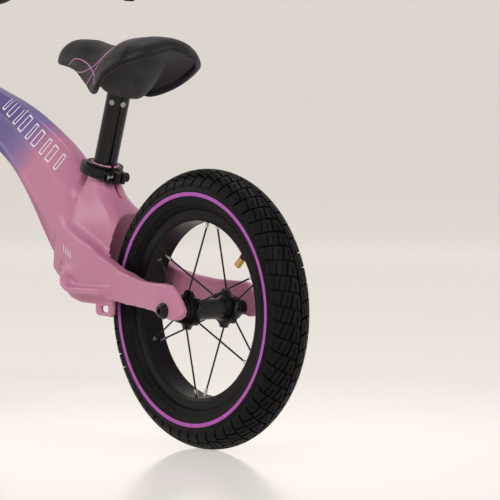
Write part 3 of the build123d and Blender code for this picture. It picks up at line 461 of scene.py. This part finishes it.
def slant(arc):
    """How far a groove leads at an arc length from the crown."""
    return GROOVE_LEAD * (1 - min(arc, GROOVE_REACH) / GROOVE_REACH) ** 0.9


def tyre_half(side, u, share, block, siped):
    """Rows from the crown to the bead: angle round the section, depth below it, turn round the wheel."""
    pitch = 2 * math.pi / PITCHES
    offset = 0.5 * pitch if side < 0 else 0.0
    half = []
    for arc, high, sipe, band, lean in ROWS:
        lead = slant(arc) / RING_R / LEAD_RADIUS + pitch * STAGGER[band] + offset
        depth = GROOVE_DEPTH * (1 - high * block)
        depth = np.maximum(depth, GROOVE_DEPTH * SIPE_SHARE * sipe * siped * block)
        if arc > SHOULDER:
            wall = WALL_DEPTH * min(1.0, (arc - SHOULDER) / WALL_LENGTH)
            depth = depth * max(0.0, 1 - (arc - SHOULDER) / FADE_LENGTH) + wall
        leaning = np.tile(lean * (share - 0.5), PITCHES)
        half.append((side * (arc + leaning) / SECTION_R, depth, u * pitch + lead))
    for degrees, depth in SIDE_WALL:
        half.append((side * math.radians(degrees), np.full_like(u, depth), u * pitch + offset))
    return half


def tyre(wheel):
    """Closed tyre with chevron blocks, sipes, a coloured stripe on each side and beads inside the rim."""
    share, block, siped = (np.array(column, float) for column in zip(*COLUMNS))
    u = (np.arange(PITCHES)[:, None] + share[None, :]).ravel()
    block, siped = np.tile(block, PITCHES), np.tile(siped, PITCHES)
    right, left = (tyre_half(side, u, share, block, siped) for side in (-1, 1))
    order = list(reversed(right)) + left[1:]
    points = []
    for angle, depth, turn in order:
        r = SECTION_R - depth
        out = RING_R + r * np.cos(angle)
        points.append(np.stack([out * np.cos(turn), r * np.sin(angle), out * np.sin(turn)], -1))
    turn = u * (2 * math.pi / PITCHES)
    for y, out in [*BEAD, INNER_CROWN, *((-y, out) for y, out in reversed(BEAD))]:
        points.append(np.stack([out * np.cos(turn), np.full_like(turn, y), out * np.sin(turn)], -1))
    grid = np.array(points)
    rings, columns = grid.shape[:2]
    verts = grid.reshape(-1, 3) * MM + np.array(AXLES[wheel])
    marks = np.zeros(rings, dtype=int)
    low, high = (math.radians(a) for a in STRIPE_ANGLES)
    for k, (one, two) in enumerate(zip(order, order[1:])):
        middle = float(np.mean(np.abs(one[0] + two[0]))) / 2
        if low - 0.001 < middle < high + 0.001:
            marks[k] = 1
    name, materials = f"{wheel}_tyre_tread", [MATERIALS["tyre_rubber"], MATERIALS["stripe"]]
    faces, marks = ring_faces(rings, columns, closed=True), np.repeat(marks, columns)
    made = new_object(name, verts, faces, f"{wheel}_wheel", materials, marks)
    sharpen(made, 32)
    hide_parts(f"{wheel}_tyre")


def sharpen(made, degrees):
    """Marks edges sharper than an angle, so that they shade as edges."""
    mesh = made.data
    edit = bmesh.new()
    edit.from_mesh(mesh)
    limit = math.radians(degrees)
    for edge in edit.edges:
        edge.smooth = not (len(edge.link_faces) == 2 and edge.calc_face_angle(0) > limit)
    edit.normal_update()
    edit.to_mesh(mesh)
    edit.free()


# ---------------------------------------------------------------- CAD nodes that stay
def bevelled(node, width):
    """Soft edges on a CAD node, by a modifier."""
    modifier = NODES[node].modifiers.new("edges", "BEVEL")
    modifier.width = width
    modifier.segments = 2
    modifier.limit_method = "ANGLE"
    modifier.angle_limit = math.radians(30)
    modifier.harden_normals = True


def paint_nodes():
    """Gives every CAD node the material of its slot."""
    slots = {s["node"]: s["material_slot"] for s in frame["record"]["subparts"]}
    for name, node in NODES.items():
        material = MATERIALS[slots[name]]
        if not node.material_slots:
            node.data.materials.append(material)
        for entry in node.material_slots:
            entry.link = "OBJECT"
            entry.material = material


# ---------------------------------------------------------------- frame and fork castings
def at_frame(forward, height):
    """Point on the centre plane, from the rear axle forward and the floor up, in mm."""
    return Vector((AXLES["rear"].x + forward * MM, 0, height * MM))


# Folds that a casting would have rounded: centre, radius in mm, smoothing rounds.
SOFT_SPOTS = [
    (at_frame(205, 262), 60, 110), (at_frame(178, 218), 34, 30),
    (at_frame(204, 182), 30, 60), (at_frame(262, 262), 30, 14),
]


def evaluated(made):
    """Mesh of an object with its modifiers applied."""
    graph = bpy.context.evaluated_depsgraph_get()
    return bpy.data.meshes.new_from_object(made.evaluated_get(graph))


def weight_round(made, place, radius):
    """Vertex group that fades out from a point, measured in the side view."""
    group = made.vertex_groups.new(name=f"spot_{len(made.vertex_groups)}")
    for vertex in made.data.vertices:
        away = math.hypot(vertex.co.x - place.x, vertex.co.z - place.z) / (radius * MM)
        if away < 1:
            group.add([vertex.index], (1 - away * away) ** 1.5, "REPLACE")
    return group.name


def casting(node, name, voxel, rounds, body, slot, spots=()):
    """Even, softly rounded mesh of a cast CAD node, which it replaces."""
    made = bpy.data.objects.new(name, NODES[node].data.copy())
    bpy.context.scene.collection.objects.link(made)
    voxels = made.modifiers.new("voxels", "REMESH")
    voxels.mode = "VOXEL"
    voxels.voxel_size = voxel
    soft = made.modifiers.new("soft", "SMOOTH")
    soft.iterations = rounds
    made.data = evaluated(made)
    made.modifiers.clear()
    for place, radius, turns in spots:
        spot = made.modifiers.new("spot", "SMOOTH")
        spot.iterations = turns
        spot.vertex_group = weight_round(made, place, radius)
    made.data = evaluated(made)
    made.modifiers.clear()
    made.vertex_groups.clear()
    made.data.name = name
    made.data.materials.clear()
    made.data.materials.append(MATERIALS[slot])
    made.data.shade_smooth()
    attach(made, body)
    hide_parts(node)
    return made


def seat_tube_axis():
    """Point on the seat tube's axis level with its clamp, the axis, and the way to the rear across it."""
    low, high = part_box("seat_post")
    radius = high.y
    axis = Vector((low.x - high.x + 2 * radius, 0, high.z - low.z)).normalized()
    middle = (low + high) / 2
    level = centre("seat_clamp_nut").z
    middle.y = 0
    return middle + axis * ((level - middle.z) / axis.z), axis, Vector((-axis.z, 0, axis.x))


# Slit, in mm: half width, length, and how far behind the tube's axis the cut starts and ends.
SLIT_HALF = 1.8
SLIT_LENGTH = 29
SLIT_CUT = (9, 40)
SLIT_STEPS = 12


def cut_slit(made):
    """Round-ended slit in the back of the seat tube, below its clamp."""
    start, axis, back = seat_tube_axis()
    half, length = SLIT_HALF * MM, SLIT_LENGTH * MM
    outline = []
    for k in range(SLIT_STEPS + 1):
        a = math.pi * k / SLIT_STEPS
        outline.append((half * math.cos(a), -length - half * math.sin(a)))
    outline += [(-half, 0), (half, 0)]
    edit = bmesh.new()
    near, far = [
        [edit.verts.new(start + Vector((0, y, 0)) + axis * z + back * (depth * MM)) for y, z in outline]
        for depth in SLIT_CUT]
    edit.faces.new(near)
    edit.faces.new(list(reversed(far)))
    for k in range(len(outline)):
        m = (k + 1) % len(outline)
        edit.faces.new([near[k], far[k], far[m], near[m]])
    bmesh.ops.recalc_face_normals(edit, faces=edit.faces)
    mesh = bpy.data.meshes.new("cutter")
    edit.to_mesh(mesh)
    edit.free()
    cutter = bpy.data.objects.new("cutter", mesh)
    bpy.context.scene.collection.objects.link(cutter)
    cut = made.modifiers.new("slit", "BOOLEAN")
    cut.object = cutter
    cut.solver = "EXACT"
    made.data = evaluated(made)
    made.modifiers.clear()
    bpy.data.objects.remove(cutter)


# ---------------------------------------------------------------- decals, in mm
DECAL_STEP = 1.2
DECAL_LIFT = 0.25
RAY_START = 200
# Nine slanted bars that climb the beam, every second one longer.
BAR_COUNT = 9
BAR_START = (250, 306)
BAR_PITCH = (14.2, 9.4)
BAR_LENGTHS = (5.5, 8.5)
BAR_HEIGHT = 17
BAR_LEAN = 3.5
BAR_ALONG = (0.83, 0.56)
BAR_LINE = 1.5
# Four short upright dashes, lower down on the side.
DASH_COUNT = 4
DASH_PITCH = (6.5, 2.4)
DASH_ENDS = ((196, 203), (198, 212))
DASH_LINE = 2.2


def strip_points(path):
    """Points close together along a path, its corners among them."""
    points = []
    for (x0, z0), (x1, z1) in zip(path, path[1:]):
        steps = max(2, int(math.hypot(x1 - x0, z1 - z0) / DECAL_STEP))
        points += [(x0 + (x1 - x0) * k / steps, z0 + (z1 - z0) * k / steps) for k in range(steps)]
    return points + [path[-1]]


def decal(name, paths, width, surface_tree, hand):
    """Thin strips on the casting along closed or open paths of (forward, height) points."""
    verts, faces = [], []
    for path in paths:
        points = strip_points(path)
        rows = []
        for k, (x, z) in enumerate(points):
            a, b = points[max(k - 1, 0)], points[min(k + 1, len(points) - 1)]
            dx, dz = b[0] - a[0], b[1] - a[1]
            span = math.hypot(dx, dz)
            side = (-dz / span * width / 2, dx / span * width / 2)
            row = []
            for share in (-1, 0, 1):
                ray = at_frame(x + side[0] * share, z + side[1] * share)
                ray.y = hand * RAY_START * MM
                hit, normal, _, _ = surface_tree.ray_cast(ray, Vector((0, -hand, 0)))
                row.append(None if hit is None else hit + normal * (DECAL_LIFT * MM))
            rows.append(row)
        for one, two in zip(rows, rows[1:]):
            if any(v is None for v in one + two):
                continue
            base = len(verts)
            verts += one + two
            faces += [(base, base + 1, base + 4, base + 3), (base + 1, base + 2, base + 5, base + 4)]
    new_object(name, verts, faces, "frame_body", [MATERIALS["decal_white"]])


def bar_outline(x, z, length):
    """Closed slanted bar from its lower rear corner."""
    ax, az = BAR_ALONG
    corners = [(0, 0), (length, 0), (length + BAR_LEAN, BAR_HEIGHT), (BAR_LEAN, BAR_HEIGHT), (0, 0)]
    return [(x + ax * u - az * v, z + az * u + ax * v) for u, v in corners]


def decals(made):
    """Outlined bars and short dashes on both sides of the casting."""
    tree = BVHTree.FromObject(made, bpy.context.evaluated_depsgraph_get())
    bars = [bar_outline(BAR_START[0] + BAR_PITCH[0] * k, BAR_START[1] + BAR_PITCH[1] * k, BAR_LENGTHS[k % 2])
            for k in range(BAR_COUNT)]
    dashes = [[(x + DASH_PITCH[0] * k, z + DASH_PITCH[1] * k) for x, z in DASH_ENDS]
              for k in range(DASH_COUNT)]
    for hand, side in ((1, "left"), (-1, "right")):
        decal(f"{side}_bars", bars, BAR_LINE, tree, hand)
        decal(f"{side}_dashes", dashes, DASH_LINE, tree, hand)


# ---------------------------------------------------------------- saddle, in mm from the top of the post
# Forward, half width, top, lower edge.
SADDLE = [
    (-101, 6, 47, 44), (-100.2, 18, 50, 42), (-98, 28, 53, 39.5), (-91, 44, 57, 35), (-75, 58, 60, 28),
    (-51, 62, 60, 18), (-28, 55, 56, 7), (-6, 44, 54, 1), (20, 35, 58, 14), (47, 31, 65, 31),
    (72, 28, 67, 38), (91, 21, 63, 41), (98, 15, 59, 43), (101, 8, 55, 45), (102, 2, 52, 48),
]
# The CAD cover's rear end and lowest point, from the top of the post.
COVER_REAR = -99
COVER_FOOT = 1
LIP = 4.2
LIP_STEPS = 8
ALONG_SADDLE = 150
ACROSS_SADDLE = 64
# Powers that square off the cover's section.
SIDE_POWER = 0.87
TOP_POWER = 1.24
# Hollow under the pad.
PAD_DEPTH = 17
HOLLOW_SHARE = 0.62
# Boss round the post: its middle, how it is drawn out to the rear and narrowed, its flat and its flare.
POST_LEAN = 0.338
BOSS_AT = -5
BOSS_REAR = 0.66
BOSS_SIDE = 1.04
BOSS_FADE = 30
BOSS_FLAT_R = 15
BOSS_FLARE = 3.0
BOSS_POWER = 1.6
# Softness of the meeting of hollow and boss, and how far apart they are before it no longer matters.
BLEND = 4.0
BLEND_LIMIT = 60
# Moulded base: thickness, gap kept below the cover's top, sections left off at each end, spread of its edge.
BASE_THICKNESS = 3.5
BASE_CLEARANCE = 3.2
BASE_ENDS = 10
BASE_SPREAD = 1.03
PAD_LIFT = 5
PAD_CLEARANCE = 2.5


def saddle_row(x):
    """Half width, top and lower edge of the saddle at a place along it."""
    table = np.array(SADDLE)
    return [float(monotone(table[:, 0], table[:, k], x)) for k in (1, 2, 3)]


def monotone(xs, ys, x):
    """Smooth curve through points that never overshoots them."""
    h, slope = np.diff(xs), np.diff(ys) / np.diff(xs)
    tangent = np.zeros(len(xs))
    for k in range(1, len(xs) - 1):
        if slope[k - 1] * slope[k] > 0:
            a, b = 2 * h[k] + h[k - 1], h[k] + 2 * h[k - 1]
            tangent[k] = (a + b) / (a / slope[k - 1] + b / slope[k])
    tangent[0], tangent[-1] = slope[0], slope[-1]
    k = int(np.clip(np.searchsorted(xs, x) - 1, 0, len(h) - 1))
    t = (x - xs[k]) / h[k]
    return ((1 + 2 * t) * (1 - t) ** 2 * ys[k] + t * (1 - t) ** 2 * h[k] * tangent[k]
            + t * t * (3 - 2 * t) * ys[k + 1] + t * t * (t - 1) * h[k] * tangent[k + 1])


def on_cover(x, share):
    """Point of the cover's outer face; share is -1 at the right edge, 0 on top and 1 at the left edge."""
    half, top, edge = saddle_row(x)
    a = share * math.pi / 2
    y = math.copysign(abs(math.sin(a)) ** SIDE_POWER, share) * half
    return np.array([x, y, edge + (top - edge) * math.cos(a) ** TOP_POWER])


def underside(x, y, half, top, edge):
    """Height of the moulded base's lower face, where a hollow meets the boss round the post."""
    inner = max(half - 2 * LIP, 0.5)
    rise = max(top - edge - PAD_DEPTH, 1.0) * HOLLOW_SHARE
    hollow = edge + LIP * 0.5 + rise * (1 - min(1.0, (y / inner) ** 2))
    dx = x - BOSS_AT
    reach = math.hypot(dx * (BOSS_REAR if dx < 0 else 1.0), y * BOSS_SIDE)
    flare = max(0.0, (reach - BOSS_FLAT_R) / BOSS_FLARE) ** BOSS_POWER
    boss = POST_LEAN * x * math.exp(-((reach / BOSS_FADE) ** 2)) + flare
    if abs(hollow - boss) >= BLEND_LIMIT:
        return min(hollow, boss)
    return -BLEND * math.log(math.exp(-hollow / BLEND) + math.exp(-boss / BLEND))


def saddle_sections(x):
    """Closed sections of the cover and of the base at a place along the saddle."""
    half, top, edge = saddle_row(x)
    lip = min(LIP, half * 0.3, (top - edge) * 0.3)
    outer = [on_cover(x, 1 - 2 * k / ACROSS_SADDLE) for k in range(ACROSS_SADDLE + 1)]
    inner = max(half - 2 * lip, 0.3)
    roll = []
    for k in range(1, LIP_STEPS + 1):
        a = math.pi * k / LIP_STEPS
        roll.append(np.array([x, -half + lip - lip * math.cos(a), edge - lip * math.sin(a) * 0.8]))
    back = [np.array([p[0], -p[1], p[2]]) for p in reversed(roll)]
    ys = [-inner + 2 * inner * k / ACROSS_SADDLE for k in range(ACROSS_SADDLE + 1)]
    heights = [underside(x, y, half, top, edge) for y in ys]
    under = [np.array([x, y, min(z + PAD_LIFT, top - PAD_CLEARANCE)])
             for y, z in zip(ys[1:-1], heights[1:-1])]
    lower = [np.array([x, y * BASE_SPREAD, z]) for y, z in zip(ys, heights)]
    upper = [p + np.array([0, 0, min(BASE_THICKNESS, max(0.4, top - BASE_CLEARANCE - p[2]))])
             for p in reversed(lower)]
    return outer + roll + under + back, lower + upper


def saddle():
    """Padded cover with a rolled lip, over a moulded base that bulges down round the post."""
    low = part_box("saddle_cover")[0]
    origin = np.array([low.x / MM - COVER_REAR, 0, low.z / MM - COVER_FOOT])
    rear, front = SADDLE[0][0], SADDLE[-1][0]
    places = [rear + (front - rear) * (0.5 - 0.5 * math.cos(math.pi * k / (ALONG_SADDLE - 1)))
              for k in range(ALONG_SADDLE)]
    cover, base = zip(*[saddle_sections(x) for x in places])
    for name, sections, slot, node in (
            ("saddle_pad", cover, "cover", "saddle_cover"),
            ("saddle_shell", base[BASE_ENDS:-BASE_ENDS], "base_plastic", "saddle_base")):
        grid = np.array(sections)
        rings, points = grid.shape[:2]
        faces = [tuple(f) for f in ring_faces(rings, points)]
        faces.append(tuple(range(points)))
        faces.append(tuple(reversed(range((rings - 1) * points, rings * points))))
        verts = (grid.reshape(-1, 3) + origin) * MM
        made = new_object(name, verts, faces, "seat_body", [MATERIALS[slot]])
        sharpen(made, 50)
        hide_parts(node)
    piping(origin)


# Welts over the left half of the cover: (forward, share of the way down to its edge).
PIPING = [
    [(37, 0.99), (25, 0.84), (-5, 0.52), (-45, 0.22), (-55, 0.0)],
    [(13, 0.99), (6, 0.84), (-11, 0.58), (-49, 0.25), (-59, 0.0)],
    [(57, 0.98), (45, 0.74), (21, 0.64), (-5, 0.70), (-20, 0.84), (-27, 0.97)],
]
PIPING_R = 0.62
PIPING_STEPS = 60
TUBE_SIDES = 8
# No welt runs along this direction.
ASIDE = Vector((0.1, 0.2, 1))


def piping(origin):
    """Thin coloured welts sewn over the cover, the same on both sides."""
    steps = np.linspace(0, 1, PIPING_STEPS)
    for hand, side in ((1, "left"), (-1, "right")):
        for number, path in enumerate(PIPING):
            keys = np.linspace(0, 1, len(path))
            forward, down = np.array(path, float).T
            xs = [float(monotone(keys, forward, t)) for t in steps]
            shares = [float(monotone(keys, down, t)) for t in steps]
            line = [(on_cover(x, hand * share) + origin) * MM for x, share in zip(xs, shares)]
            verts, faces = tube(line, PIPING_R * MM)
            new_object(f"{side}_piping_{number}", verts, faces, "seat_body", [MATERIALS["piping"]])


def tube(line, radius):
    """Round cord along a line, closed at both ends."""
    line = [Vector(p) for p in line]
    verts = []
    for k, point in enumerate(line):
        ahead = (line[min(k + 1, len(line) - 1)] - line[max(k - 1, 0)]).normalized()
        across = ahead.cross(ASIDE).normalized()
        up = across.cross(ahead)
        for t in range(TUBE_SIDES):
            a = 2 * math.pi * t / TUBE_SIDES
            verts.append(point + across * radius * math.cos(a) + up * radius * math.sin(a))
    faces = [tuple(f) for f in ring_faces(len(line), TUBE_SIDES)]
    faces.append(tuple(reversed(range(TUBE_SIDES))))
    faces.append(tuple(range((len(line) - 1) * TUBE_SIDES, len(line) * TUBE_SIDES)))
    return verts, faces


MATERIALS = make_materials()
paint_nodes()
make_studio()
make_camera()
for wheel_name in ("rear", "front"):
    tyre(wheel_name)
frame_casting = casting("frame", "frame_casting", 0.0016, 11, "frame_body", "frame_paint", SOFT_SPOTS)
cut_slit(frame_casting)
decals(frame_casting)
casting("fork", "fork_casting", 0.0015, 10, "fork_body", "fork_paint")
saddle()
for soft_edged in (
        "seat_clamp_collar", "bar_clamp_collar", "rear_axle_bolts", "front_axle_bolts", "bar_face"):
    bevelled(soft_edged, 0.5 * MM)
